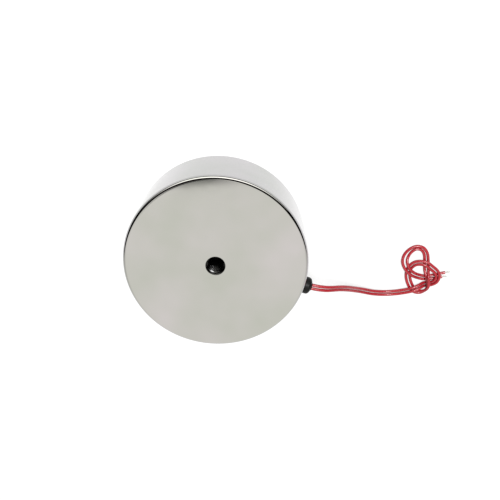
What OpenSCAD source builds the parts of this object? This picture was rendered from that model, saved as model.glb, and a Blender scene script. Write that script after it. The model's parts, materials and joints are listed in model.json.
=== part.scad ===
// Round holding electromagnet.
// A turned iron pot with an inner pole holds a ring coil that is potted in from the holding face.
// It stands on its holding face: the origin is the middle of that face and +Z points to the
// mounting face. +X points out of the lead outlet.

/* [Pot] */
// Outside diameter of the pot
body_d = 100; // [90:1:120]
// Height from the holding face to the mounting face
body_h = 40; // [36:0.5:50]
// Thickness of the outer pole ring
wall_t = 5.5; // [4:0.5:7]
// Thickness of the back plate
back_t = 7; // [6:0.5:10]
// Rounding of the rim of the mounting face
rim_r = 2.3; // [0.5:0.1:3]
// Rounding of the rim of the holding face
pole_edge_r = 0.6; // [0.2:0.1:1]

/* [Mounting thread] */
// Nominal diameter of the thread in the mounting face
thread_d = 10; // [6:1:12]
// Depth of the full thread
thread_depth = 18; // [10:1:22]
// Depth of the countersink at the mouth of the thread
thread_mouth = 0.4; // [0.2:0.1:0.8]

/* [Coil] */
// Wall of the bobbin's tube
bobbin_wall = 1.4; // [1:0.1:2]
// Thickness of the bobbin's flanges
flange_t = 1.6; // [1:0.1:2.5]
// Room between the winding and the pole ring, for the joints of the leads
joint_room = 7.5; // [7:0.5:10]
// Thickness of the copper winding, from the bobbin's tube to the tape
winding_t = 12.4; // [9:0.1:16]
// Thickness of the tape round the winding
tape_t = 0.5; // [0.2:0.1:0.8]
// Diameter of the winding's copper tails
tail_d = 0.8; // [0.5:0.1:1]
// Depth of the potting resin behind the holding face
resin_t = 4; // [2:0.5:6]

/* [Lead outlet] */
// Diameter of the outlet hole through the pole ring
outlet_d = 6.2; // [5.6:0.2:6.6]
// Diameter of the grommet's head
head_d = 9.6; // [9:0.2:11]
// How far the grommet's head stands out of the pot
head_t = 5.2; // [4:0.1:7]
// Rounding of the front of the grommet's head
head_r = 2; // [1:0.1:2.2]
// Rounding of the grommet's head next to the pot
heel_r = 1.4; // [0.6:0.1:1.7]
// Length of the nose round the leads
nose_l = 0.5; // [0.3:0.1:3]
// Rubber round the leads at the tip of the nose
nose_wall = 0.3; // [0.2:0.05:0.5]
// How much wider the nose is where it leaves the head
nose_flare = 0.2; // [0.1:0.1:0.5]
// Thickness of the grommet's inner lip
lip_t = 1.2; // [0.8:0.1:1.4]
// How far the inner lip reaches past the hole
lip_w = 0.5; // [0.4:0.1:1]

/* [Leads] */
// Diameter of each insulated lead
lead_d = 1.8; // [1.4:0.1:2]
// Diameter of the tinned strands at a lead's end
tinned_d = 1.1; // [0.8:0.1:1.2]
// Length of the tinned strands
tinned_l = 2; // [1.5:0.5:8]
// How much further the second lead reaches than the first where they are cut
end_step = 2; // [0:0.5:4]
// Diameter of the sleeves over the joints inside
splice_d = 3; // [2.6:0.1:3.2]
// Length of those sleeves
splice_l = 8; // [6:0.5:10]

/* [Hidden] */
$fn = 96;

// Room for sliding the bobbin on
bobbin_clear = 0.2;
// Room round the grommet's inner lip
lip_clear = 0.3;
// Room round a lead in the grommet and in its sleeve, and round a copper tail
lead_clear = 0.1;
// Room under the sleeves on the tape
seat_clear = 0.05;
// Room between the two leads where they run side by side
pair_room = 0.4;
// Overlap of the cutting shapes
cut = 1;

// Pot
body_r = body_d / 2;
bore_r = body_r - wall_t;
cavity_h = body_h - back_t;
thread_r = thread_d / 2;
drill_angle = 59;

// Coil, from the pole ring in to the inner pole
flange_r = bore_r - lip_t - lip_clear;
winding_r = bore_r - joint_room;
tape_r = winding_r + tape_t;
tube_out_r = winding_r - winding_t;
tube_in_r = tube_out_r - bobbin_wall;
core_r = tube_in_r - bobbin_clear;
coil_low = resin_t + flange_t;
coil_high = cavity_h - flange_t;

// Lead outlet
outlet_r = outlet_d / 2;
lip_r = outlet_r + lip_w;
lead_z = cavity_h - lip_r - lip_clear;
head_x = body_r + head_t;
nose_x = head_x + nose_l;

// Splices: the sleeves lie on the tape, each a little way round from the outlet
splice_r = tape_r + splice_d / 2 + seat_clear;
splice_turn = splice_l / splice_r * 180 / PI;
splice_from = 11;
splice_mid = splice_from + splice_turn / 2;

// Copper tails: from just past the lead's end in the sleeve to where they leave the winding,
// with a thicker, twisted start there
twist_t = 0.15;
tail_r = tail_d / 2;
tail_from = splice_mid + 1;
tail_to = splice_from + splice_turn + 6;
tail_root_r = tail_r + twist_t;

// Route of the leads
lead_r = lead_d / 2;
// Middles of the two leads where they run side by side, and half of the pair's width
pair_gap = lead_d + pair_room;
pair_half = pair_gap / 2 + lead_r;
lead_sides = 8;

// Tip of the grommet's nose
nose_tip_r = pair_half + lead_clear + nose_wall;

// Inside the pot, from the joint to the grommet, for the lead on the +Y side: x and y
function on_splice(turn) = splice_r * [cos(turn), sin(turn)];
inside_route = [
    on_splice(splice_mid),
    on_splice(splice_from - 1),
    [bore_r - 4, 2.4],
    [bore_r - lip_t + 0.1, pair_gap / 2],
    [bore_r + 1, pair_gap / 2]
];

// From the grommet down to the table, for the middle of the pair:
// how far out from the nose, y, and height as a share of the outlet's height
droop_route = [
    [0, 0, 1], [8.3, 0.7, 0.96], [20.3, 0.7, 0.67], [34.3, -2.1, 0.26], [45.3, -3.2, 0.064],
    [53.3, -1.7, 0]
];

// The loose knot on the table, for the middle of the pair: how far out from the nose, y,
// height above the lowest lie, added gap between the leads, and roll of the pair
knot_route = [
    [60.3, 2, 0.9, 0, 0], [66.2, 6.6, 2.4, 0, 0], [69.3, 9.2, 1.8, 0, 0], [72.3, 11.4, 0.1, 0, 0],
    [75.5, 13, 0.4, -0.1, 0], [77.2, 15.8, 1.8, -0.2, 0], [77.1, 19, 2.2, -0.2, 0],
    [75.2, 21.7, 2.3, -0.1, 0], [71.4, 23.5, 2.5, 0, 0], [66.3, 24.9, 2.2, 0, 0],
    [61.3, 22.8, 0.8, 0, 0], [59.3, 18.3, 0, 0, 0], [60.1, 14.3, 0, 0.1, 0],
    [63.1, 9.6, 0, 0.1, 0], [68.1, 5.6, 0.1, 0, 5], [71.7, 5.9, 0.7, 0.1, 35],
    [73.8, 8.5, 1.9, 0.1, 60], [73.6, 11.9, 3.3, 0, 85], [72.3, 14.8, 3.3, 0, 100],
    [70.6, 17.8, 2.9, 0, 120], [69.2, 21, 0.7, 0, 165], [66.6, 26.8, 0, 0, 180],
    [64.3, 30.5, 0, -0.2, 180], [61.1, 32.5, 0, -0.3, 180], [57.6, 32, 0, -0.3, 180],
    [55.1, 29.2, 0, 0.1, 180], [54, 25.2, 0.2, 0.6, 180], [54.5, 21.6, 1.2, 0.6, 180],
    [57.7, 18, 2.3, 0.2, 180], [61.9, 16.1, 1.9, 0, 180], [66.5, 15.1, 0.1, 0, 180],
    [71.3, 15.8, 0, 0, 180], [80.7, 21, 0, 0.4, 180]
];

// Middle of the pair in the part's own frame: x, y, z, gap and roll
pair_route = concat(
    [for (p = droop_route)
        [nose_x + p[0], p[1], lead_r + (lead_z - lead_r) * p[2], pair_gap, 0]],
    [for (p = knot_route)
        [nose_x + p[0], p[1], lead_r + p[2], pair_gap + p[3], p[4]]]
);

function unit(v) = v / norm(v);
function way_on(path, i) = unit(path[min(i + 1, len(path) - 1)] - path[max(i - 1, 0)]);
pair_plan = [for (p = pair_route) [p[0], p[1]]];
function side_of(i) = let (w = way_on(pair_plan, i)) [-w[1], w[0], 0];

// A lead's share of the step between the two cut ends
function end_shift(i, side) =
    let (w = way_on(pair_plan, i), last = len(pair_plan) - 1)
    i < last ? [0, 0, 0] : -side * end_step / 2 * [w[0], w[1], 0];

// One lead's middle line, on the +Y side of the outlet for side = 1 and the -Y side for side = -1
function lead_path(side) = concat(
    [for (p = inside_route) [p[0], side * p[1], lead_z]],
    [for (i = [0 : len(pair_route) - 1])
        let (p = pair_route[i])
        [p[0], p[1], p[2]] + end_shift(i, side)
        + side * p[3] / 2 * (cos(p[4]) * side_of(i) + sin(p[4]) * [0, 0, 1])]
);

// A ring of points square to a path
function ring(path, i, r) =
    let (w = way_on(path, i), u = unit(cross(w, [0, 0, 1])), v = cross(u, w))
    [for (k = [0 : lead_sides - 1])
        let (a = (k + 0.5) * 360 / lead_sides)
        path[i] + r * (cos(a) * u + sin(a) * v)];

// A round cord along a path
module cord(path, r) {
    n = lead_sides;
    rings = len(path);
    points = [for (i = [0 : rings - 1]) each ring(path, i, r)];
    walls = [for (i = [0 : rings - 2], k = [0 : n - 1])
        let (a = i * n + k, b = i * n + (k + 1) % n)
        each [[a, b, b + n], [a, b + n, a + n]]];
    first_cap = [[for (k = [0 : n - 1]) n - 1 - k]];
    last_cap = [[for (k = [0 : n - 1]) (rings - 1) * n + k]];
    polyhedron(points, concat(first_cap, walls, last_cap));
}

// Section of the pot's outside, with both rims rounded
module pot_outline() {
    square([body_r - rim_r, body_h]);
    square([body_r - pole_edge_r, body_h / 2]);
    translate([0, pole_edge_r]) square([body_r, body_h - rim_r - pole_edge_r]);
    translate([body_r - rim_r, body_h - rim_r]) circle(rim_r);
    translate([body_r - pole_edge_r, pole_edge_r]) circle(pole_edge_r);
}

// Section of the tapped hole, with its drill point and countersink
module thread_outline() {
    low = body_h - thread_depth;
    mouth_r = thread_r + thread_mouth;
    polygon([
        [0, low - thread_r / tan(drill_angle)],
        [thread_r, low],
        [thread_r, body_h - thread_mouth],
        [mouth_r, body_h],
        [mouth_r, body_h + cut],
        [0, body_h + cut]
    ]);
}

// The outlet's axis, with the child drawn along +X from the pot's middle
module along_outlet() {
    translate([0, 0, lead_z]) rotate([0, 90, 0]) children();
}

module outlet_hole() {
    along_outlet() cylinder(h = body_r + cut, r = outlet_r);
}

// The pole ring near the outlet, as the rubber grommet feels it
module outlet_wall() {
    difference() {
        translate([0, 0, lead_z - head_d]) cylinder(h = 2 * head_d, r = body_r);
        translate([0, 0, lead_z - head_d - cut]) cylinder(h = 2 * head_d + 2 * cut, r = bore_r);
        outlet_hole();
    }
}

// Turned iron pot: back plate, pole ring and inner pole in one piece
module pot_body() {
    color([0.78, 0.77, 0.75])
    difference() {
        rotate_extrude() difference() {
            intersection() {
                pot_outline();
                square([body_r, body_h]);
            }
            translate([core_r, -cut]) square([bore_r - core_r, cavity_h + cut]);
            thread_outline();
        }
        outlet_hole();
    }
}

// Cast ring that closes the coil groove, ground flush with the poles
module potting_resin() {
    color([0.13, 0.13, 0.14])
    rotate_extrude() translate([core_r, 0]) square([bore_r - core_r, resin_t]);
}

// Moulded bobbin that slides over the inner pole
module coil_bobbin() {
    color([0.9, 0.88, 0.82])
    rotate_extrude() {
        translate([tube_in_r, resin_t]) square([bobbin_wall, cavity_h - resin_t]);
        for (z = [resin_t, coil_high])
            translate([tube_in_r, z]) square([flange_r - tube_in_r, flange_t]);
    }
}

// One copper tail: out of the winding through the tape, then along the tape into its sleeve
module winding_tail() {
    translate([0, 0, lead_z]) {
        rotate(tail_from)
            rotate_extrude(angle = tail_to - tail_from) translate([splice_r, 0]) circle(tail_r);
        rotate(tail_to) translate([winding_r - cut, 0]) rotate([0, 90, 0])
            cylinder(h = splice_r - winding_r + cut + tail_root_r, r = tail_root_r);
    }
}

// Enamelled copper winding with its two tails
module coil_winding() {
    color([0.72, 0.38, 0.18]) {
        rotate_extrude()
            translate([tube_out_r, coil_low]) square([winding_r - tube_out_r, coil_high - coil_low]);
        winding_tail();
        mirror([0, 1, 0]) winding_tail();
    }
}

// Tape round the winding, pierced where the tails come through
module coil_tape() {
    color([0.85, 0.68, 0.2])
    difference() {
        rotate_extrude()
            translate([winding_r, coil_low]) square([tape_t, coil_high - coil_low]);
        for (turn = [tail_to, -tail_to])
            rotate(turn) translate([winding_r - cut, 0, lead_z]) rotate([0, 90, 0])
                cylinder(h = tape_t + 2 * cut, r = tail_root_r + lead_clear);
    }
}

// Section of the grommet's head, rounded in front and where it leans on the pot
module head_outline() {
    wide = head_d / 2;
    translate([0, body_r - cut]) square([wide - head_r, head_t + cut]);
    translate([0, body_r - cut]) square([wide - heel_r, heel_r + cut]);
    translate([0, body_r + heel_r]) square([wide, head_t - heel_r - head_r]);
    translate([wide - head_r, head_x - head_r]) circle(head_r);
    translate([wide - heel_r, body_r + heel_r]) circle(heel_r);
}

// Rubber grommet: rounded head, neck through the pole ring, inner lip and a nose round the leads
module lead_grommet() {
    color([0.06, 0.06, 0.06])
    difference() {
        along_outlet() union() {
            translate([0, 0, bore_r - lip_t]) cylinder(h = lip_t + cut, r = lip_r);
            translate([0, 0, bore_r - lip_t]) cylinder(h = wall_t + lip_t, r = outlet_r);
            rotate_extrude() head_outline();
            translate([0, 0, head_x])
                cylinder(h = nose_l, r1 = nose_tip_r + nose_flare, r2 = nose_tip_r);
        }
        outlet_wall();
        along_outlet() translate([0, 0, bore_r - lip_t - cut])
            linear_extrude(nose_x - bore_r + lip_t + 2 * cut) {
                square([lead_d + 2 * lead_clear, pair_gap], center = true);
                for (side = [1, -1]) translate([0, side * pair_gap / 2]) circle(lead_r + lead_clear);
            }
    }
}

// Sleeve over the joint of a lead and a copper tail
module splice_sleeve(side) {
    color([0.1, 0.1, 0.12])
    mirror([0, side > 0 ? 0 : 1, 0])
    translate([0, 0, lead_z]) rotate(splice_from)
        rotate_extrude(angle = splice_turn) translate([splice_r, 0]) difference() {
            circle(splice_d / 2);
            circle(lead_r + lead_clear);
        }
}

// Red insulated lead, from its joint inside to its free end
module lead_wire(side) {
    color([0.75, 0.1, 0.13]) cord(lead_path(side), lead_r);
}

// Tinned strands at a lead's free end
module tinned_end(side) {
    path = lead_path(side);
    last = len(path) - 1;
    way = way_on(path, last);
    color([0.75, 0.75, 0.76])
    translate(path[last]) rotate([0, acos(way[2]), atan2(way[1], way[0])])
        cylinder(h = tinned_l, r = tinned_d / 2);
}

module splice_sleeve_1() { splice_sleeve(1); }
module splice_sleeve_2() { splice_sleeve(-1); }
module lead_wire_1() { lead_wire(1); }
module lead_wire_2() { lead_wire(-1); }
module tinned_end_1() { tinned_end(1); }
module tinned_end_2() { tinned_end(-1); }

pot_body();
potting_resin();
coil_bobbin();
coil_winding();
coil_tape();
lead_grommet();
splice_sleeve_1();
splice_sleeve_2();
lead_wire_1();
lead_wire_2();
tinned_end_1();
tinned_end_2();
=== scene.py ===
"""Studio look of a round holding electromagnet: plated pot, tapped hole, grommet, red leads and coil."""

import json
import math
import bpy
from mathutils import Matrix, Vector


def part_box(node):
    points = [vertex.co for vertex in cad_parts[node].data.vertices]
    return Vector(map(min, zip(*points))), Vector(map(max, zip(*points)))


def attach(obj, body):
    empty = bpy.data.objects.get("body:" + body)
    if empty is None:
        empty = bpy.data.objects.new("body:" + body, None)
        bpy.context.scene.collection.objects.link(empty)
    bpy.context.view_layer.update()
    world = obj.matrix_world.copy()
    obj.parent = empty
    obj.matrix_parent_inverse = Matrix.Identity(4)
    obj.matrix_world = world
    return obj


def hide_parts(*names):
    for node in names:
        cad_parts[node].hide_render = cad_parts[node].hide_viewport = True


bl_info = {
    "name": "Holding Electromagnet",
    "version": (1, 0, 0),
    "blender": (4, 5, 0),
    "location": "View3D > Sidebar > Magnet",
    "description": "Builds the finished look of a holding electromagnet and the stage it stands on",
    "category": "Object",
}

import bmesh
import bpy
from bpy.props import FloatProperty, FloatVectorProperty, IntProperty, PointerProperty
from bpy.types import Operator, Panel, PropertyGroup
from mathutils import Matrix, Vector

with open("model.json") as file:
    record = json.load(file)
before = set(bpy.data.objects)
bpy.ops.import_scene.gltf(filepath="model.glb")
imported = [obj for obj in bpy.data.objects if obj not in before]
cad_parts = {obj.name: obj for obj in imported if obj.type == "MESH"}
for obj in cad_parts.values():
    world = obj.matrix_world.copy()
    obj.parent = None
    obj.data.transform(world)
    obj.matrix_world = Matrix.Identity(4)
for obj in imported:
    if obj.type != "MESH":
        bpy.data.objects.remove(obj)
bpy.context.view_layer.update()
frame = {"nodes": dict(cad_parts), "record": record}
BODY = "root"
MM = 0.001
# Points nearer than this count as one
TOUCH = 1e-6
# Radius of the floor, and of the dome that the plate mirrors
FLOOR_R = 8.0
DOME_R = 3.0
# Light that comes back from the unlit part of the room
DARK_ROOM = 0.004
# How far the light wall's edge falls back at its sides, and the strip light bows down at its ends
WALL_BOW = 0.48
STRIP_SAG = 0.5
# Share of the wall's light that the gap in its edge takes away
GAP_SHARE = 0.85
# A tinned end's length, as a share of its box's diagonal
END_SHARE = 0.86
# One strand in the middle and six round it
STRANDS = 7
STRAND_TURN = math.radians(60)
DRILL_HALF_ANGLE = math.radians(59)
# Height of a metric thread, as a share of its pitch
THREAD_HEIGHT = 0.5413
THREAD_STEPS = 48
# How far the thread's ridges reach into the wall of the hole
ROOT_OVERLAP = 0.02 * MM

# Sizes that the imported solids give


def radii(node):
    """Smallest and largest distance of a solid's points from the magnet's axis."""
    found = [math.hypot(v.co.x, v.co.y) for v in frame["nodes"][node].data.vertices]
    return min(found), max(found)


def rounding(node, height):
    """How far a turned solid's rim is rounded back at a height."""
    points = [v.co for v in frame["nodes"][node].data.vertices]
    rim = [p.xy.length for p in points if abs(p.z - height) < TOUCH]
    return radii(node)[1] - max(rim)


POT_R = radii("pot_body")[1]
POT_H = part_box("pot_body")[1].z
RIM_R = rounding("pot_body", POT_H)
POLE_EDGE_R = rounding("pot_body", 0)
CORE_R, BORE_R = radii("potting_resin")
RESIN_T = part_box("potting_resin")[1].z
CAVITY_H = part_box("coil_bobbin")[1].z
GROMMET_LOW, GROMMET_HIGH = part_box("lead_grommet")
NOSE_X = GROMMET_HIGH.x
OUTLET_Z = (GROMMET_LOW.z + GROMMET_HIGH.z) / 2
THREAD = next(m for m in frame["record"]["mounts"] if m["name"] == "mounting_thread")
THREAD_R = THREAD["dims"]["r_mm"] * MM

# Route of the two leads, in metres

# Inside the pot, from the joint to the grommet, for the lead on the +Y side: x and y
INSIDE_ROUTE = (
    (0.03737, 0.01133), (0.03846, 0.00678), (0.0405, 0.0024), (0.0434, 0.0011), (0.0455, 0.0011),
)
# From the grommet down to the table, for the middle of the pair:
# how far out from the nose, y, and height as a share of the outlet's height
DROOP_ROUTE = (
    (0, 0, 1), (0.0083, 0.0007, 0.96), (0.0203, 0.0007, 0.67), (0.0343, -0.0021, 0.26),
    (0.0453, -0.0032, 0.064), (0.0533, -0.0017, 0),
)
# The loose knot on the table, for the middle of the pair: how far out from the nose, y,
# height above the lowest lie, added gap between the leads, and roll of the pair in degrees
KNOT_ROUTE = (
    (0.0603, 0.002, 0.0009, 0, 0), (0.0662, 0.0066, 0.0024, 0, 0), (0.0693, 0.0092, 0.0018, 0, 0),
    (0.0723, 0.0114, 0.0001, 0, 0), (0.0755, 0.013, 0.0004, -0.0001, 0),
    (0.0772, 0.0158, 0.0018, -0.0002, 0), (0.0771, 0.019, 0.0022, -0.0002, 0),
    (0.0752, 0.0217, 0.0023, -0.0001, 0), (0.0714, 0.0235, 0.0025, 0, 0),
    (0.0663, 0.0249, 0.0022, 0, 0), (0.0613, 0.0228, 0.0008, 0, 0), (0.0593, 0.0183, 0, 0, 0),
    (0.0601, 0.0143, 0, 0.0001, 0), (0.0631, 0.0096, 0, 0.0001, 0), (0.0681, 0.0056, 0.0001, 0, 5),
    (0.0717, 0.0059, 0.0007, 0.0001, 35), (0.0738, 0.0085, 0.0019, 0.0001, 60),
    (0.0736, 0.0119, 0.0033, 0, 85), (0.0723, 0.0148, 0.0033, 0, 100), (0.0706, 0.0178, 0.0029, 0, 120),
    (0.0692, 0.021, 0.0007, 0, 165), (0.0666, 0.0268, 0, 0, 180), (0.0643, 0.0305, 0, -0.0002, 180),
    (0.0611, 0.0325, 0, -0.0003, 180), (0.0576, 0.032, 0, -0.0003, 180),
    (0.0551, 0.0292, 0, 0.0001, 180), (0.054, 0.0252, 0.0002, 0.0006, 180),
    (0.0545, 0.0216, 0.0012, 0.0006, 180), (0.0577, 0.018, 0.0023, 0.0002, 180),
    (0.0619, 0.0161, 0.0019, 0, 180), (0.0665, 0.0151, 0.0001, 0, 180), (0.0713, 0.0158, 0, 0, 180),
    (0.0807, 0.021, 0, 0.0004, 180),
)


def linear(hex_colour):
    """Scene-linear red, green and blue of an sRGB hex colour."""
    channels = [int(hex_colour[i:i + 2], 16) / 255 for i in (1, 3, 5)]
    return tuple(c / 12.92 if c <= 0.04045 else ((c + 0.055) / 1.055) ** 2.4 for c in channels)


def rgba(colour):
    """A colour with full cover, as a shader socket takes it."""
    return (*colour[:3], 1.0)


def colour_setting(name, description, hex_colour):
    """A colour property with an sRGB hex default."""
    return FloatVectorProperty(
        name=name, description=description, default=linear(hex_colour),
        subtype="COLOR", min=0, max=1,
    )


def length_setting(name, description, default):
    """A length property in metres."""
    return FloatProperty(
        name=name, description=description, default=default, unit="LENGTH", precision=5, min=0,
    )


def strength_setting(name, description, default):
    """Strength of a light that has no lamp."""
    return FloatProperty(name=name, description=description, default=default, min=0)


def power_setting(name, description, default):
    """Power of a lamp in watts."""
    return FloatProperty(name=name, description=description, default=default, unit="POWER", min=0)


def place_setting(name, description, default):
    """A place on the stage, in metres."""
    return FloatVectorProperty(
        name=name, description=description, default=default, subtype="TRANSLATION", unit="LENGTH",
    )


def way_setting(name, description, default):
    """A direction on the stage."""
    return FloatVectorProperty(
        name=name, description=description, default=default, subtype="DIRECTION",
    )


class StageSettings(PropertyGroup):
    """Camera, floor and light."""

    camera_place: place_setting("Camera place", "Where the camera stands", (-0.0213, 0.1337, 0.3246))
    camera_look: way_setting("Viewing direction", "Where the camera looks", (0.1156, -0.3829, -0.9165))
    camera_up: way_setting(
        "Picture up", "Direction of the picture's upper edge", (-0.2958, 0.8676, -0.3998),
    )
    camera_lens: FloatProperty(
        name="Lens", description="Focal length on a 36 mm sensor", default=42.26, unit="CAMERA",
    )
    picture_turn: FloatProperty(
        name="Picture turn", description="Turn of the reflected studio about the magnet's axis",
        default=math.radians(20.5), subtype="ANGLE",
    )
    floor_colour: colour_setting("Floor", "Colour of the backlit white table", "#999999")
    floor_glow: strength_setting("Floor glow", "Light that shines through the white table", 0.64)
    surround: strength_setting("Surround", "Strength of the even light all round", 0.5)
    key_power: power_setting("Key light", "Power of the soft light above the camera", 20.0)
    key_size: length_setting("Key size", "Diameter of each soft light", 0.5)
    key_place: place_setting("Key place", "Where the soft light hangs", (-0.134, 0.401, 1.23))
    glint_power: power_setting("Glint light", "Power of the light on the leads", 20.0)
    glint_place: place_setting("Glint place", "Where the light on the leads hangs", (0.16, 0.53, 1.15))
    thread_power: power_setting("Thread light", "Power of the light on the thread", 11.0)
    thread_place: place_setting(
        "Thread light place", "Where the light on the thread stands", (0.18, 0.85, 0.5),
    )
    wall_colour: colour_setting("Wall colour", "Colour of the light wall in the reflections", "#FFFEF6")
    wall_light: strength_setting("Reflected wall", "Brightness of the light wall in the reflections", 1.22)
    strip_light: strength_setting("Reflected strip", "Brightness of the mirrored strip light", 3.0)


class PotSettings(PropertyGroup):
    """Turned and plated pot with its tapped hole."""

    rim_r: length_setting("Rim rounding", "Rounding of the mounting face's rim", RIM_R)
    pole_edge_r: length_setting("Pole rounding", "Rounding of the holding face's rim", POLE_EDGE_R)
    edge_break: length_setting("Edge break", "Small chamfer on the inner edges", 0.15 * MM)
    facets: IntProperty(
        name="Facets", description="Steps round the turned surfaces", default=256, min=64, max=512,
    )
    mouth: length_setting("Countersink", "Depth of the countersink at the thread's mouth", 0.4 * MM)
    thread_depth: length_setting("Thread depth", "Depth of the full thread", 18 * MM)
    pitch: length_setting("Thread pitch", "Rise of the thread in one turn", 1.5 * MM)
    crest_round: length_setting("Crest rounding", "Rounding of the thread's crest", 0.12 * MM)
    outlet_d: length_setting("Outlet hole", "Diameter of the hole for the leads", 6.2 * MM)
    nickel: colour_setting("Nickel", "Colour of the bright nickel plate", "#B5B5B4")
    # Tapped steel: its dark colour is painted shade for the inside of the hole
    steel: colour_setting("Tapped steel", "Colour of the oiled steel in the tapped hole", "#444444")


class LeadSettings(PropertyGroup):
    """Red leads, their tinned ends and the rubber grommet."""

    lead_d: length_setting("Lead", "Diameter of each insulated lead", 1.8 * MM)
    pair_gap: length_setting("Pair gap", "Middles of the two leads side by side", 2.2 * MM)
    lead_l: length_setting("Lead length", "Length of each lead, from joint to tip", 0.244)
    end_step: length_setting("End step", "How much further the second lead reaches", 2 * MM)
    strand_d: length_setting("Strand", "Diameter of one tinned strand", 0.36 * MM)
    strand_lay: length_setting("Strand lay", "Length in which a strand goes once round", 9 * MM)
    pvc: colour_setting("PVC", "Colour of the leads' insulation", "#79131C")
    tin: colour_setting("Tin", "Colour of the tinned strands", "#E4E3E0")
    rubber: colour_setting("Rubber", "Colour of the grommet", "#0B0B0B")


class CoilSettings(PropertyGroup):
    """Coil stack inside the pot and the resin that closes it."""

    dish: length_setting("Resin dish", "How far the resin sinks between the poles", 0.12 * MM)
    resin: colour_setting("Resin", "Colour of the potting resin", "#1B1C1E")
    nylon: colour_setting("Nylon", "Colour of the bobbin", "#E6DFCB")
    copper: colour_setting("Copper", "Colour of the enamelled copper wire", "#B4622F")
    tape: colour_setting("Tape", "Colour of the polyester tape", "#D9A92E")
    sleeve: colour_setting("Sleeve", "Colour of the shrink sleeves", "#1A1A1C")


# Materials

# Places of the colours and of the mixed colour on a Mix node
MIX_A, MIX_B, MIX_OUT = 6, 7, 2
# Span that most values of a noise pattern lie in
NOISE_SPAN = {"From Min": 0.3, "From Max": 0.7}


def add_node(tree, kind, inputs=None, **settings):
    """Adds a node with its settings, and fills or links its inputs."""
    node = tree.nodes.new(kind)
    for name, value in settings.items():
        setattr(node, name, value)
    for name, value in (inputs or {}).items():
        if isinstance(value, bpy.types.NodeSocket):
            tree.links.new(value, node.inputs[name])
        else:
            node.inputs[name].default_value = value
    return node


def start_material(name, colour, **constants):
    """A material with its shader's constant values set; gives it, its tree and its coordinates."""
    material = bpy.data.materials.new(name)
    material.use_nodes = True
    tree = material.node_tree
    shader = tree.nodes["Principled BSDF"]
    shader.inputs["Base Color"].default_value = rgba(colour)
    for socket, value in constants.items():
        shader.inputs[socket.replace("_", " ")].default_value = value
    place = add_node(tree, "ShaderNodeTexCoord").outputs["Object"]
    return material, tree, place


def link_shader(material, tone=None, gloss=None, bump=None):
    """Links what varies over the surface, its colour, roughness and relief, to a material's shader."""
    tree = material.node_tree
    inputs = tree.nodes["Principled BSDF"].inputs
    for node, output, socket in (
        (tone, MIX_OUT, "Base Color"), (gloss, "Result", "Roughness"), (bump, "Normal", "Normal"),
    ):
        if node is not None:
            tree.links.new(node.outputs[output], inputs[socket])
    return material


def per_mm(size_mm):
    """Texture scale at which a pattern repeats about every size_mm."""
    return 1 / (size_mm * MM)


def wave_scale(size_mm):
    """Scale at which the bands or rings of a wave texture repeat every size_mm."""
    return per_mm(size_mm) * math.pi / 10


def shade(colour, *shares):
    """A colour with all its channels, or each of them, made darker or lighter by a share."""
    if len(shares) == 1:
        shares = shares * 3
    return (*(min(1.0, c * s) for c, s in zip(colour, shares)), 1.0)


def bright_nickel(colour):
    """Bright nickel plate over buffed steel: a mirror with soft cloudy patches from the buffing wheel."""
    material, tree, place = start_material("bright_nickel_plate", colour, Metallic=1.0)
    # Patches about 30 mm across, some a little greener and some a little pinker
    shifted = add_node(tree, "ShaderNodeMapping", {"Vector": place, "Location": (70 * MM, 0, 0)})
    patch = add_node(tree, "ShaderNodeTexNoise", {
        "Vector": shifted.outputs["Vector"], "Scale": per_mm(30), "Detail": 2,
    })
    tone = add_node(tree, "ShaderNodeMix", {
        "Factor": patch.outputs["Fac"],
        MIX_A: shade(colour, 0.85, 0.9, 0.82), MIX_B: shade(colour, 1.17, 1.09, 1.19),
    }, data_type="RGBA")
    # Haze of the buffing, about 9 mm across
    haze = add_node(tree, "ShaderNodeTexNoise", {"Vector": place, "Scale": per_mm(9), "Detail": 4})
    gloss = add_node(tree, "ShaderNodeMapRange", {
        "Value": haze.outputs["Fac"], **NOISE_SPAN, "To Min": 0.03, "To Max": 0.07,
    })
    # Low waves in the buffed steel
    wave = add_node(tree, "ShaderNodeTexNoise", {"Vector": place, "Scale": per_mm(14)})
    bump = add_node(tree, "ShaderNodeBump", {"Height": wave.outputs["Fac"], "Distance": 0.003 * MM})
    return link_shader(material, tone, gloss, bump)


def ground_nickel(colour):
    """Nickel plate over a face-turned pole: fine rings from the tool, 0.6 mm apart so that they show."""
    material, tree, place = start_material(
        "turned_nickel_plate", shade(colour, 0.96), Metallic=1.0,
    )
    rings = add_node(
        tree, "ShaderNodeTexWave",
        {"Vector": place, "Scale": wave_scale(0.6), "Distortion": 0.4},
        wave_type="RINGS", rings_direction="Z", wave_profile="SIN",
    )
    smear = add_node(tree, "ShaderNodeTexNoise", {"Vector": place, "Scale": per_mm(6), "Detail": 3})
    gloss = add_node(tree, "ShaderNodeMapRange", {
        "Value": smear.outputs["Fac"], **NOISE_SPAN, "To Min": 0.16, "To Max": 0.26,
    })
    bump = add_node(tree, "ShaderNodeBump", {"Height": rings.outputs["Fac"], "Distance": 0.004 * MM})
    return link_shader(material, gloss=gloss, bump=bump)


def tapped_steel(colour):
    """Bare steel cut by the tap: glossy, darkened as painted shade in the hole, with torn streaks on the
    flanks.
    """
    material, tree, place = start_material("painted_shade_tap_steel", colour, Metallic=1.0)
    tear = add_node(tree, "ShaderNodeTexNoise", {"Vector": place, "Scale": per_mm(0.9), "Detail": 3})
    tone = add_node(tree, "ShaderNodeMix", {
        "Factor": tear.outputs["Fac"], MIX_A: shade(colour, 0.4), MIX_B: shade(colour, 1.3),
    }, data_type="RGBA")
    gloss = add_node(tree, "ShaderNodeMapRange", {
        "Value": tear.outputs["Fac"], **NOISE_SPAN, "To Min": 0.14, "To Max": 0.3,
    })
    bump = add_node(tree, "ShaderNodeBump", {"Height": tear.outputs["Fac"], "Distance": 0.006 * MM})
    return link_shader(material, tone, gloss, bump)


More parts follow.
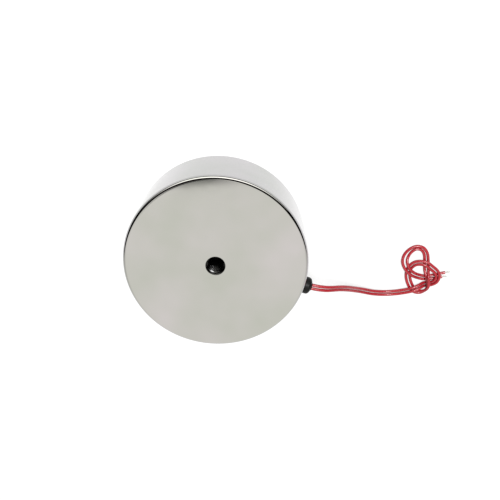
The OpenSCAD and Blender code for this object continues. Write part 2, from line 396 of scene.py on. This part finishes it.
def black_rubber(colour):
    """Moulded black rubber: low sheen with a fine pebbled skin, drawn at 0.35 mm so that it shows."""
    material, tree, place = start_material(
        "moulded_black_rubber", colour, IOR=1.52, Specular_IOR_Level=0.1,
    )
    skin = add_node(tree, "ShaderNodeTexNoise", {"Vector": place, "Scale": per_mm(0.35), "Detail": 2})
    tone = add_node(tree, "ShaderNodeMix", {
        "Factor": skin.outputs["Fac"], MIX_A: shade(colour, 0.7), MIX_B: shade(colour, 1.4),
    }, data_type="RGBA")
    # Worn and dull places about 2.5 mm across
    wear = add_node(tree, "ShaderNodeTexNoise", {"Vector": place, "Scale": per_mm(2.5)})
    gloss = add_node(tree, "ShaderNodeMapRange", {
        "Value": wear.outputs["Fac"], **NOISE_SPAN, "To Min": 0.3, "To Max": 0.46,
    })
    bump = add_node(tree, "ShaderNodeBump", {"Height": skin.outputs["Fac"], "Distance": 0.01 * MM})
    return link_shader(material, tone, gloss, bump)


def red_pvc(colour):
    """Extruded PVC insulation: glossy and a little clear, with faint ripples of the strands under it."""
    material, tree, place = start_material(
        "extruded_red_pvc", colour, IOR=1.53, Specular_IOR_Level=0.35, Subsurface_Weight=0.12,
        Subsurface_Scale=0.5 * MM, Subsurface_Radius=(1.0, 0.25, 0.2), Coat_Weight=0.2,
        Coat_Roughness=0.15,
    )
    # Shade of the pigment, in blotches about 5 mm across
    pigment = add_node(tree, "ShaderNodeTexNoise", {"Vector": place, "Scale": per_mm(5), "Detail": 3})
    tone = add_node(tree, "ShaderNodeMix", {
        "Factor": pigment.outputs["Fac"], MIX_A: shade(colour, 0.8), MIX_B: shade(colour, 1.2),
    }, data_type="RGBA")
    ripple = add_node(tree, "ShaderNodeTexNoise", {"Vector": place, "Scale": per_mm(1.4), "Detail": 3})
    gloss = add_node(tree, "ShaderNodeMapRange", {
        "Value": ripple.outputs["Fac"], **NOISE_SPAN, "To Min": 0.24, "To Max": 0.36,
    })
    bump = add_node(tree, "ShaderNodeBump", {"Height": ripple.outputs["Fac"], "Distance": 0.006 * MM})
    return link_shader(material, tone, gloss, bump)


def tinned_copper(colour):
    """Solder-dipped copper strands: pale, uneven tin with a dull skin."""
    material, tree, place = start_material("tinned_copper_strand", colour, Metallic=0.7)
    lump = add_node(tree, "ShaderNodeTexNoise", {"Vector": place, "Scale": per_mm(0.4), "Detail": 3})
    gloss = add_node(tree, "ShaderNodeMapRange", {
        "Value": lump.outputs["Fac"], **NOISE_SPAN, "To Min": 0.35, "To Max": 0.6,
    })
    bump = add_node(tree, "ShaderNodeBump", {"Height": lump.outputs["Fac"], "Distance": 0.01 * MM})
    return link_shader(material, gloss=gloss, bump=bump)


def cast_epoxy(colour):
    """Cast black epoxy, ground flush: satin with faint swirls of filler."""
    material, tree, place = start_material("cast_epoxy_resin", colour, IOR=1.55)
    swirl = add_node(
        tree, "ShaderNodeTexNoise", {"Vector": place, "Scale": per_mm(7), "Detail": 4, "Distortion": 0.6},
    )
    tone = add_node(tree, "ShaderNodeMix", {
        "Factor": swirl.outputs["Fac"], MIX_A: shade(colour, 0.6), MIX_B: shade(colour, 1.6),
    }, data_type="RGBA")
    grit = add_node(tree, "ShaderNodeTexNoise", {"Vector": place, "Scale": per_mm(0.8), "Detail": 3})
    gloss = add_node(tree, "ShaderNodeMapRange", {
        "Value": grit.outputs["Fac"], **NOISE_SPAN, "To Min": 0.28, "To Max": 0.45,
    })
    bump = add_node(tree, "ShaderNodeBump", {"Height": grit.outputs["Fac"], "Distance": 0.01 * MM})
    return link_shader(material, tone, gloss, bump)


def moulded_nylon(colour):
    """Moulded natural nylon: milky, with a faint flow pattern."""
    material, tree, place = start_material(
        "moulded_nylon", colour, IOR=1.53, Subsurface_Weight=0.1, Subsurface_Scale=1.0 * MM,
    )
    flow = add_node(
        tree, "ShaderNodeTexNoise", {"Vector": place, "Scale": per_mm(8), "Detail": 3, "Distortion": 1.0},
    )
    tone = add_node(tree, "ShaderNodeMix", {
        "Factor": flow.outputs["Fac"], MIX_A: shade(colour, 0.9), MIX_B: shade(colour, 1.05),
    }, data_type="RGBA")
    gloss = add_node(tree, "ShaderNodeMapRange", {
        "Value": flow.outputs["Fac"], **NOISE_SPAN, "To Min": 0.36, "To Max": 0.5,
    })
    return link_shader(material, tone, gloss)


def enamelled_copper(colour):
    """Enamelled copper wire wound in layers: a ridge for each turn, 0.8 mm apart."""
    material, tree, place = start_material(
        "enamelled_copper_wire", colour, Metallic=1.0, Roughness=0.28, Coat_Weight=0.5,
    )
    turns = add_node(
        tree, "ShaderNodeTexWave", {"Vector": place, "Scale": wave_scale(0.8)},
        wave_type="BANDS", bands_direction="Z", wave_profile="SIN",
    )
    # Painted shade: the colour follows the bump and darkens in the valleys between turns
    tone = add_node(tree, "ShaderNodeMix", {
        "Factor": turns.outputs["Fac"], MIX_A: shade(colour, 0.55), MIX_B: shade(colour, 1.05),
    }, data_type="RGBA")
    bump = add_node(tree, "ShaderNodeBump", {"Height": turns.outputs["Fac"], "Distance": 0.2 * MM})
    return link_shader(material, tone, bump=bump)


def polyester_tape(colour):
    """Yellow polyester tape: a glossy film with the edges of its wraps every 9 mm."""
    material, tree, place = start_material("polyester_tape", colour, IOR=1.6, Roughness=0.3)
    wraps = add_node(
        tree, "ShaderNodeTexWave", {"Vector": place, "Scale": wave_scale(9)},
        wave_type="BANDS", bands_direction="Z", wave_profile="SAW",
    )
    tone = add_node(tree, "ShaderNodeMix", {
        "Factor": wraps.outputs["Fac"], MIX_A: shade(colour, 0.9), MIX_B: shade(colour, 1.05),
    }, data_type="RGBA")
    bump = add_node(tree, "ShaderNodeBump", {"Height": wraps.outputs["Fac"], "Distance": 0.06 * MM})
    return link_shader(material, tone, bump=bump)


def shrink_sleeve(colour):
    """Shrunk polyolefin sleeve: dull black with slight puckers."""
    material, tree, place = start_material("shrink_sleeve", colour, IOR=1.5)
    pucker = add_node(tree, "ShaderNodeTexNoise", {"Vector": place, "Scale": per_mm(1.4), "Detail": 3})
    gloss = add_node(tree, "ShaderNodeMapRange", {
        "Value": pucker.outputs["Fac"], **NOISE_SPAN, "To Min": 0.4, "To Max": 0.6,
    })
    bump = add_node(tree, "ShaderNodeBump", {"Height": pucker.outputs["Fac"], "Distance": 0.05 * MM})
    return link_shader(material, gloss=gloss, bump=bump)


# Meshes


def finish_piece(name, bm, materials, slot, *nodes):
    """Makes an object of a bmesh, rides it on the magnet and hides the solids that it stands for."""
    mesh = bpy.data.meshes.new(name)
    bm.to_mesh(mesh)
    bm.free()
    for material in materials:
        mesh.materials.append(material)
    piece = bpy.data.objects.new(name, mesh)
    bpy.context.scene.collection.objects.link(piece)
    return place_piece(piece, slot, *nodes)


def place_piece(piece, slot, *nodes):
    """Rides a piece on the magnet and hides the solids that it stands for."""
    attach(piece, BODY)
    if nodes:
        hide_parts(*nodes)
    return piece


def turn_outline(bm, outline, facets):
    """Spins an outline of (radius, height) points once round the magnet's axis."""
    verts = [bm.verts.new((r, 0, z)) for r, z in outline]
    edges = [bm.edges.new(pair) for pair in zip(verts, verts[1:])]
    bmesh.ops.spin(
        bm, geom=verts + edges, cent=(0, 0, 0), axis=(0, 0, 1), angle=2 * math.pi,
        steps=facets, use_merge=True,
    )
    bmesh.ops.remove_doubles(bm, verts=bm.verts, dist=TOUCH)
    bmesh.ops.recalc_face_normals(bm, faces=bm.faces)


def round_ring(bm, radius, height, offset, segments):
    """Rounds the ring of edges at a radius and height."""
    def on_ring(vert):
        return abs(vert.co.xy.length - radius) < TOUCH and abs(vert.co.z - height) < TOUCH

    ring = [e for e in bm.edges if all(on_ring(v) for v in e.verts)]
    bmesh.ops.bevel(
        bm, geom=ring, offset=offset, offset_type="OFFSET", affect="EDGES", segments=segments,
        profile=0.5, material=-1,
    )


def smooth_shading(bm, limit_deg=30):
    """Smooth faces, with sharp edges where the surface turns by more than a limit."""
    for face in bm.faces:
        face.smooth = True
    for edge in bm.edges:
        edge.smooth = edge.calc_face_angle(0.0) < math.radians(limit_deg)


def even_normals(piece):
    """Lets the large faces set the shading next to their small rounded edges."""
    modifier = piece.modifiers.new("even_normals", "WEIGHTED_NORMAL")
    modifier.keep_sharp = True


# Leads


def unit(vector):
    """A direction with length 1."""
    return vector.normalized()


def way_on(points, i):
    """Direction of a route at one of its points, from that point's neighbours."""
    return unit(points[min(i + 1, len(points) - 1)] - points[max(i - 1, 0)])


def lead_route(side, leads):
    """Points of one lead, on the +Y side of the outlet for side 1 and the -Y side for side -1."""
    lead_r = leads.lead_d / 2
    pair = [
        (NOSE_X + out, y, lead_r + (OUTLET_Z - lead_r) * share, leads.pair_gap, 0)
        for out, y, share in DROOP_ROUTE
    ] + [
        (NOSE_X + out, y, lead_r + height, leads.pair_gap + gap, roll)
        for out, y, height, gap, roll in KNOT_ROUTE
    ]
    plan = [Vector((p[0], p[1])) for p in pair]
    points = [Vector((x, side * y, OUTLET_Z)) for x, y in INSIDE_ROUTE]
    for i, (x, y, z, gap, roll) in enumerate(pair):
        way = way_on(plan, i)
        across = Vector((-way.y, way.x, 0)) * math.cos(math.radians(roll))
        across.z = math.sin(math.radians(roll))
        points.append(Vector((x, y, z)) + side * gap / 2 * across)
    points[-1] -= side * leads.end_step / 2 * way.to_3d()
    return points


def between(first, second, low, high, t):
    """The point at t on the line that has one point at low and another at high."""
    return first.lerp(second, (t - low) / (high - low))


def spline_point(four, knots, t):
    """Point of a centripetal spline between the middle two of four points."""
    edge = [between(four[i], four[i + 1], knots[i], knots[i + 1], t) for i in range(3)]
    bend = [between(edge[i], edge[i + 1], knots[i], knots[i + 2], t) for i in range(2)]
    return between(bend[0], bend[1], knots[1], knots[2], t)


def smooth_route(points, lowest, steps=8):
    """A smooth line through a route's points that stays above the table."""
    ends = [2 * points[0] - points[1], *points, 2 * points[-1] - points[-2]]
    line = []
    for four in zip(ends, ends[1:], ends[2:], ends[3:]):
        knots = [0.0]
        for p, q in zip(four, four[1:]):
            knots.append(knots[-1] + math.sqrt((q - p).length))
        for step in range(steps):
            line.append(spline_point(four, knots, knots[1] + (knots[2] - knots[1]) * step / steps))
    line.append(points[-1].copy())
    for point in line:
        point.z = max(point.z, lowest)
    return line


class MAGNET_OT_stage(Operator):
    """Make the camera, floor, lights and the studio that the plate reflects"""

    bl_idname = "magnet.stage"
    bl_label = "Stage"

    def execute(self, context):
        stage = context.scene.magnet_stage
        self.camera(context, stage)
        self.floor(stage)
        self.light(context, stage)
        self.reflections(stage)
        return {"FINISHED"}

    def camera(self, context, stage):
        look = unit(Vector(stage.camera_look))
        right = unit(look.cross(Vector(stage.camera_up)))
        turn = Matrix((right, right.cross(look), -look)).transposed()
        data = bpy.data.cameras.new("camera")
        data.sensor_width = 36
        data.lens = stage.camera_lens
        data.clip_start = 0.01
        camera = bpy.data.objects.new("camera", data)
        camera.matrix_world = Matrix.Translation(stage.camera_place) @ turn.to_4x4()
        context.scene.collection.objects.link(camera)
        context.scene.camera = camera

    def floor(self, stage):
        bm = bmesh.new()
        bmesh.ops.create_circle(bm, cap_ends=True, radius=FLOOR_R, segments=96)
        acrylic = start_material(
            "backlit_opal_acrylic", stage.floor_colour, Roughness=0.9, Specular_IOR_Level=0.1,
            Emission_Color=(1, 1, 1, 1), Emission_Strength=stage.floor_glow,
        )[0]
        self.stage_piece("floor", bm, acrylic)

    def stage_piece(self, name, bm, material):
        mesh = bpy.data.meshes.new(name)
        bm.to_mesh(mesh)
        bm.free()
        mesh.materials.append(material)
        piece = bpy.data.objects.new(name, mesh)
        bpy.context.scene.collection.objects.link(piece)
        return piece

    def light(self, context, stage):
        world = bpy.data.worlds.new("even_surround")
        world.use_nodes = True
        sky = world.node_tree.nodes["Background"]
        sky.inputs["Color"].default_value = (1, 1, 1, 1)
        sky.inputs["Strength"].default_value = stage.surround
        context.scene.world = world
        context.scene.view_settings.view_transform = "Standard"
        key = self.soft_light(context, "key", stage.key_place, stage.key_power, stage.key_size)
        key.visible_glossy = False
        # One light for the leads and grommet alone, and a low one that reaches the thread's first turns
        for name, place, power in (
            ("glint", stage.glint_place, stage.glint_power),
            ("thread_light", stage.thread_place, stage.thread_power),
        ):
            light = self.soft_light(context, name, place, power, stage.key_size)
            light.light_linking.receiver_collection = bpy.data.collections.new("in_" + name)

    def soft_light(self, context, name, place, power, size):
        data = bpy.data.lights.new(name, "AREA")
        data.shape = "DISK"
        data.size = size
        data.energy = power
        light = bpy.data.objects.new(name, data)
        light.location = place
        light.rotation_euler = (-light.location).to_track_quat("-Z", "Y").to_euler()
        context.scene.collection.objects.link(light)
        return light

    def reflections(self, stage):
        """A dome that only mirrors see: light wall on the far side, dark room on the camera's side."""
        bm = bmesh.new()
        bmesh.ops.create_uvsphere(bm, u_segments=64, v_segments=32, radius=DOME_R)
        bmesh.ops.bisect_plane(
            bm, geom=bm.verts[:] + bm.edges[:] + bm.faces[:], plane_co=(0, 0, 0), plane_no=(0, 0, 1),
            clear_inner=True,
        )
        material = bpy.data.materials.new("studio_reflections")
        material.use_nodes = True
        material.cycles.emission_sampling = "NONE"
        tree = material.node_tree
        tree.nodes.remove(tree.nodes["Principled BSDF"])
        place = add_node(tree, "ShaderNodeTexCoord").outputs["Object"]
        turned = add_node(tree, "ShaderNodeMapping", {
            "Vector": place, "Rotation": (0, 0, -stage.picture_turn), "Scale": [1 / DOME_R] * 3,
        })
        axes = add_node(tree, "ShaderNodeSeparateXYZ", {"Vector": turned.outputs["Vector"]}).outputs
        square = add_node(
            tree, "ShaderNodeMath", {0: axes["X"], 1: axes["X"]}, operation="MULTIPLY",
        ).outputs["Value"]
        # The light wall leans over the magnet, and its edge falls back at both sides
        bowed = add_node(
            tree, "ShaderNodeMath", {0: square, 1: WALL_BOW, 2: axes["Y"]}, operation="MULTIPLY_ADD",
        ).outputs["Value"]
        # The strip light bows down at both sides
        sagging = add_node(
            tree, "ShaderNodeMath", {0: square, 1: STRIP_SAG, 2: axes["Z"]}, operation="MULTIPLY_ADD",
        ).outputs["Value"]
        # Each panel has a strength, and edges that fade from dark at one place to bright at the other
        wall_edge = (bowed, 0.2, 0.08)
        panels = (
            (stage.wall_light, (wall_edge, (square, 1.8, 0.05))),
            # A dark gap in the wall's edge, above the magnet
            (-GAP_SHARE * stage.wall_light, (
                wall_edge, (axes["Y"], -0.279, -0.261), (axes["X"], -0.36, -0.24),
                (axes["X"], 0.06, -0.13),
            )),
            (stage.strip_light, (
                (axes["Z"], 0.14, 0.46), (sagging, 0.78, 0.58), (axes["Y"], 0.3, 0.36),
                (axes["X"], -1.1, -0.4),
            )),
        )
        total = DARK_ROOM
        for light, edges in panels:
            for value, dark, bright in edges:
                fade = add_node(
                    tree, "ShaderNodeMapRange", {"Value": value, "From Min": dark, "From Max": bright},
                    interpolation_type="SMOOTHSTEP",
                )
                light = add_node(
                    tree, "ShaderNodeMath", {0: fade.outputs["Result"], 1: light}, operation="MULTIPLY",
                ).outputs["Value"]
            total = add_node(
                tree, "ShaderNodeMath", {0: light, 1: total}, operation="ADD",
            ).outputs["Value"]
        emission = add_node(
            tree, "ShaderNodeEmission", {"Color": rgba(stage.wall_colour), "Strength": total},
        )
        tree.links.new(
            emission.outputs["Emission"], tree.nodes["Material Output"].inputs["Surface"],
        )
        dome = self.stage_piece("studio_dome", bm, material)
        dome.visible_camera = False
        dome.visible_diffuse = False
        dome.visible_transmission = False
        dome.visible_shadow = False


class MAGNET_OT_leads(Operator):
    """Lay the two red leads from their joints through the grommet to the loose knot"""

    bl_idname = "magnet.leads"
    bl_label = "Leads"

    def execute(self, context):
        leads = context.scene.magnet_leads
        material = red_pvc(leads.pvc)
        tin = tinned_copper(leads.tin)
        for number, side in ((1, 1), (2, -1)):
            route = lead_route(side, leads)
            line = smooth_route(route, leads.lead_d / 2)
            curve = bpy.data.curves.new(f"lead_{number}", "CURVE")
            curve.dimensions = "3D"
            curve.bevel_depth = leads.lead_d / 2
            curve.bevel_resolution = 6
            curve.use_fill_caps = True
            spline = curve.splines.new("POLY")
            spline.points.add(len(line) - 1)
            for point, place in zip(spline.points, line):
                point.co = (*place, 1)
            spline.use_smooth = True
            curve.materials.append(material)
            lead = bpy.data.objects.new(f"lead_{number}", curve)
            context.scene.collection.objects.link(lead)
            place_piece(lead, "red_pvc", f"lead_wire_{number}")
            bpy.data.collections["in_glint"].objects.link(lead)
            end = self.tinned_end(leads, number, route[-1], unit(route[-1] - route[-2]), tin)
        return {"FINISHED"}

    def tinned_end(self, leads, number, tip, way, material):
        """Twisted strands past the end of a lead: one in the middle and six round it."""
        low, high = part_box(f"tinned_end_{number}")
        length = (high - low).length * END_SHARE
        strand_r = leads.strand_d / 2
        bm = bmesh.new()
        for i in range(STRANDS):
            ring_r = 0 if i == 0 else leads.strand_d
            made = bmesh.ops.create_circle(bm, cap_ends=False, radius=strand_r, segments=10)
            bmesh.ops.translate(bm, verts=made["verts"], vec=(ring_r, 0, 0))
            bmesh.ops.rotate(
                bm, verts=made["verts"], cent=(0, 0, 0),
                matrix=Matrix.Rotation(i * STRAND_TURN, 3, "Z"),
            )
            edges = list({e for v in made["verts"] for e in v.link_edges})
            steps = 14
            bmesh.ops.spin(
                bm, geom=made["verts"] + edges, cent=(0, 0, 0), axis=(0, 0, 1),
                dvec=(0, 0, length / steps), angle=2 * math.pi * length / leads.strand_lay,
                steps=steps,
            )
        bmesh.ops.holes_fill(bm, edges=[e for e in bm.edges if e.is_boundary])
        bmesh.ops.recalc_face_normals(bm, faces=bm.faces)
        aim = way.to_track_quat("Z", "Y").to_matrix()
        bmesh.ops.rotate(bm, verts=bm.verts, cent=(0, 0, 0), matrix=aim)
        bmesh.ops.translate(bm, verts=bm.verts, vec=tip)
        smooth_shading(bm, limit_deg=50)
        return finish_piece(
            f"tinned_strands_{number}", bm, [material], "tinned_copper", f"tinned_end_{number}",
        )


class MAGNET_OT_grommet(Operator):
    """Finish the rubber grommet"""

    bl_idname = "magnet.grommet"
    bl_label = "Grommet"

    def execute(self, context):
        dress("lead_grommet", black_rubber(context.scene.magnet_leads.rubber))
        bpy.data.collections["in_glint"].objects.link(frame["nodes"]["lead_grommet"])
        return {"FINISHED"}


def dress(node, material):
    """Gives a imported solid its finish."""
    solid = frame["nodes"][node]
    solid.data.materials.clear()
    solid.data.materials.append(material)


class MAGNET_OT_pot(Operator):
    """Turn the plated pot, drill its outlet and cut the mounting thread"""

    bl_idname = "magnet.pot"
    bl_label = "Pot"

    def execute(self, context):
        pot = context.scene.magnet_pot
        finishes = [bright_nickel(pot.nickel), ground_nickel(pot.nickel), tapped_steel(pot.steel)]
        self.body(pot, finishes)
        self.thread(pot, finishes[2])
        return {"FINISHED"}

    def body(self, pot, finishes):
        mouth_r = THREAD_R + pot.mouth
        hole_low = POT_H - pot.thread_depth
        drill_tip = hole_low - THREAD_R / math.tan(DRILL_HALF_ANGLE)
        bm = bmesh.new()
        turn_outline(bm, (
            (0, 0), (CORE_R, 0), (CORE_R, CAVITY_H), (BORE_R, CAVITY_H), (BORE_R, 0), (POT_R, 0),
            (POT_R, POT_H), (mouth_r, POT_H), (THREAD_R, POT_H - pot.mouth), (THREAD_R, hole_low),
            (0, drill_tip),
        ), pot.facets)
        round_ring(bm, POT_R, POT_H, pot.rim_r, segments=8)
        round_ring(bm, POT_R, 0, pot.pole_edge_r, segments=5)
        for radius in (CORE_R, BORE_R):
            round_ring(bm, radius, 0, pot.edge_break, segments=2)
        round_ring(bm, mouth_r, POT_H, pot.edge_break, segments=2)
        smooth_shading(bm)
        for face in bm.faces:
            middle = face.calc_center_median()
            if middle.z < pot.edge_break / 2:
                face.material_index = 1
            # Faces in the hole take the darkened steel, painted shade for the hole
            elif middle.xy.length < mouth_r and middle.z > drill_tip - MM:
                face.material_index = 2
        piece = finish_piece("pot", bm, finishes, "nickel_plate", "pot_body")
        self.outlet(pot, piece)
        even_normals(piece)

    def outlet(self, pot, piece):
        """Drills the hole for the leads through the pole ring."""
        bm = bmesh.new()
        bmesh.ops.create_cone(
            bm, cap_ends=True, segments=48, radius1=pot.outlet_d / 2, radius2=pot.outlet_d / 2,
            depth=POT_R - CORE_R,
        )
        lying = Matrix.Rotation(math.pi / 2, 3, "Y")
        bmesh.ops.rotate(bm, verts=bm.verts, cent=(0, 0, 0), matrix=lying)
        bmesh.ops.translate(bm, verts=bm.verts, vec=(POT_R, 0, OUTLET_Z))
        mesh = bpy.data.meshes.new("outlet_drill")
        bm.to_mesh(mesh)
        bm.free()
        drill = bpy.data.objects.new("outlet_drill", mesh)
        bpy.context.scene.collection.objects.link(drill)
        cut = piece.modifiers.new("outlet", "BOOLEAN")
        cut.object = drill
        cut.solver = "EXACT"
        bpy.context.view_layer.update()
        ready = piece.evaluated_get(bpy.context.evaluated_depsgraph_get())
        piece.data = bpy.data.meshes.new_from_object(ready)
        piece.modifiers.clear()
        bpy.data.objects.remove(drill)

    def thread(self, pot, finish):
        """Ridges of the thread: one tooth, swept up its helix and faded out at the mouth."""
        root_r = THREAD_R + ROOT_OVERLAP
        crest_r = THREAD_R - THREAD_HEIGHT * pot.pitch
        # A ridge is seven eighths of the pitch wide at its root and a quarter at its crest
        root_half = pot.pitch * 7 / 16
        crest_half = pot.pitch / 8
        low = POT_H - pot.thread_depth + root_half
        turns = int((pot.thread_depth - pot.mouth) / pot.pitch) - 1
        steps = THREAD_STEPS * turns
        bm = bmesh.new()
        tooth = [
            bm.verts.new((r, 0, low + z))
            for r, z in (
                (root_r, -root_half), (crest_r, -crest_half), (crest_r, crest_half),
                (root_r, root_half),
            )
        ]
        bm.faces.new(tooth)
        bmesh.ops.bevel(
            bm, geom=tooth[1:3], offset=pot.crest_round, offset_type="OFFSET", affect="VERTICES",
            segments=3, profile=0.5, material=-1,
        )
        bmesh.ops.spin(
            bm, geom=bm.verts[:] + bm.edges[:] + bm.faces[:], cent=(0, 0, 0), axis=(0, 0, 1),
            dvec=(0, 0, pot.pitch * turns / steps), angle=2 * math.pi * turns, steps=steps,
        )
        # The crest runs out into the wall over the last turn
        run_out = max(v.co.z for v in bm.verts) - pot.pitch
        for vert in bm.verts:
            share = min(1.0, max(0.0, (vert.co.z - run_out) / pot.pitch))
            radius = vert.co.xy.length
            vert.co.xy *= (radius + (root_r - radius) * share) / radius
        bmesh.ops.recalc_face_normals(bm, faces=bm.faces)
        smooth_shading(bm)
        # The ridges take the same darkened steel, painted shade for the hole
        thread = finish_piece("mounting_thread", bm, [finish], "nickel_plate")
        bpy.data.collections["in_thread_light"].objects.link(thread)


class MAGNET_OT_resin(Operator):
    """Cast the resin ring that closes the coil groove"""

    bl_idname = "magnet.resin"
    bl_label = "Resin"

    def execute(self, context):
        coil = context.scene.magnet_coil
        bm = bmesh.new()
        middle = (CORE_R + BORE_R) / 2
        half = (BORE_R - CORE_R) / 2
        dished = [
            (middle + half * x, coil.dish * (1 - x ** 4)) for x in (-1, -0.8, -0.4, 0, 0.4, 0.8, 1)
        ]
        outline = ((CORE_R, RESIN_T), *dished, (BORE_R, RESIN_T), (CORE_R, RESIN_T))
        turn_outline(bm, outline, facets=192)
        smooth_shading(bm)
        finish_piece("resin_ring", bm, [cast_epoxy(coil.resin)], "epoxy_resin", "potting_resin")
        return {"FINISHED"}


class MAGNET_OT_coil(Operator):
    """Finish the bobbin, winding, tape and joint sleeves inside the pot"""

    bl_idname = "magnet.coil"
    bl_label = "Coil"

    def execute(self, context):
        coil = context.scene.magnet_coil
        dress("coil_bobbin", moulded_nylon(coil.nylon))
        dress("coil_winding", enamelled_copper(coil.copper))
        dress("coil_tape", polyester_tape(coil.tape))
        sleeve = shrink_sleeve(coil.sleeve)
        for number in (1, 2):
            dress(f"splice_sleeve_{number}", sleeve)
        return {"FINISHED"}


class MAGNET_PT_sidebar(Panel):
    """Buttons that build the magnet's look, piece by piece"""

    bl_idname = "MAGNET_PT_sidebar"
    bl_label = "Holding Electromagnet"
    bl_space_type = "VIEW_3D"
    bl_region_type = "UI"
    bl_category = "Magnet"

    def draw(self, context):
        for operator in OPERATORS:
            self.layout.operator(operator.bl_idname)


SETTINGS = {
    "magnet_stage": StageSettings,
    "magnet_pot": PotSettings,
    "magnet_leads": LeadSettings,
    "magnet_coil": CoilSettings,
}
OPERATORS = (
    MAGNET_OT_stage, MAGNET_OT_leads, MAGNET_OT_grommet, MAGNET_OT_pot, MAGNET_OT_resin,
    MAGNET_OT_coil,
)


def register():
    for cls in (*SETTINGS.values(), *OPERATORS, MAGNET_PT_sidebar):
        bpy.utils.register_class(cls)
    for name, group in SETTINGS.items():
        setattr(bpy.types.Scene, name, PointerProperty(type=group))


def unregister():
    for name in SETTINGS:
        delattr(bpy.types.Scene, name)
    for cls in (MAGNET_PT_sidebar, *reversed(OPERATORS), *reversed(SETTINGS.values())):
        bpy.utils.unregister_class(cls)


def main():
    """Builds everything in order."""
    register()
    bpy.ops.magnet.stage()
    bpy.ops.magnet.leads()
    bpy.ops.magnet.grommet()
    bpy.ops.magnet.pot()
    bpy.ops.magnet.resin()
    bpy.ops.magnet.coil()


if __name__ == "__main__":
    main()
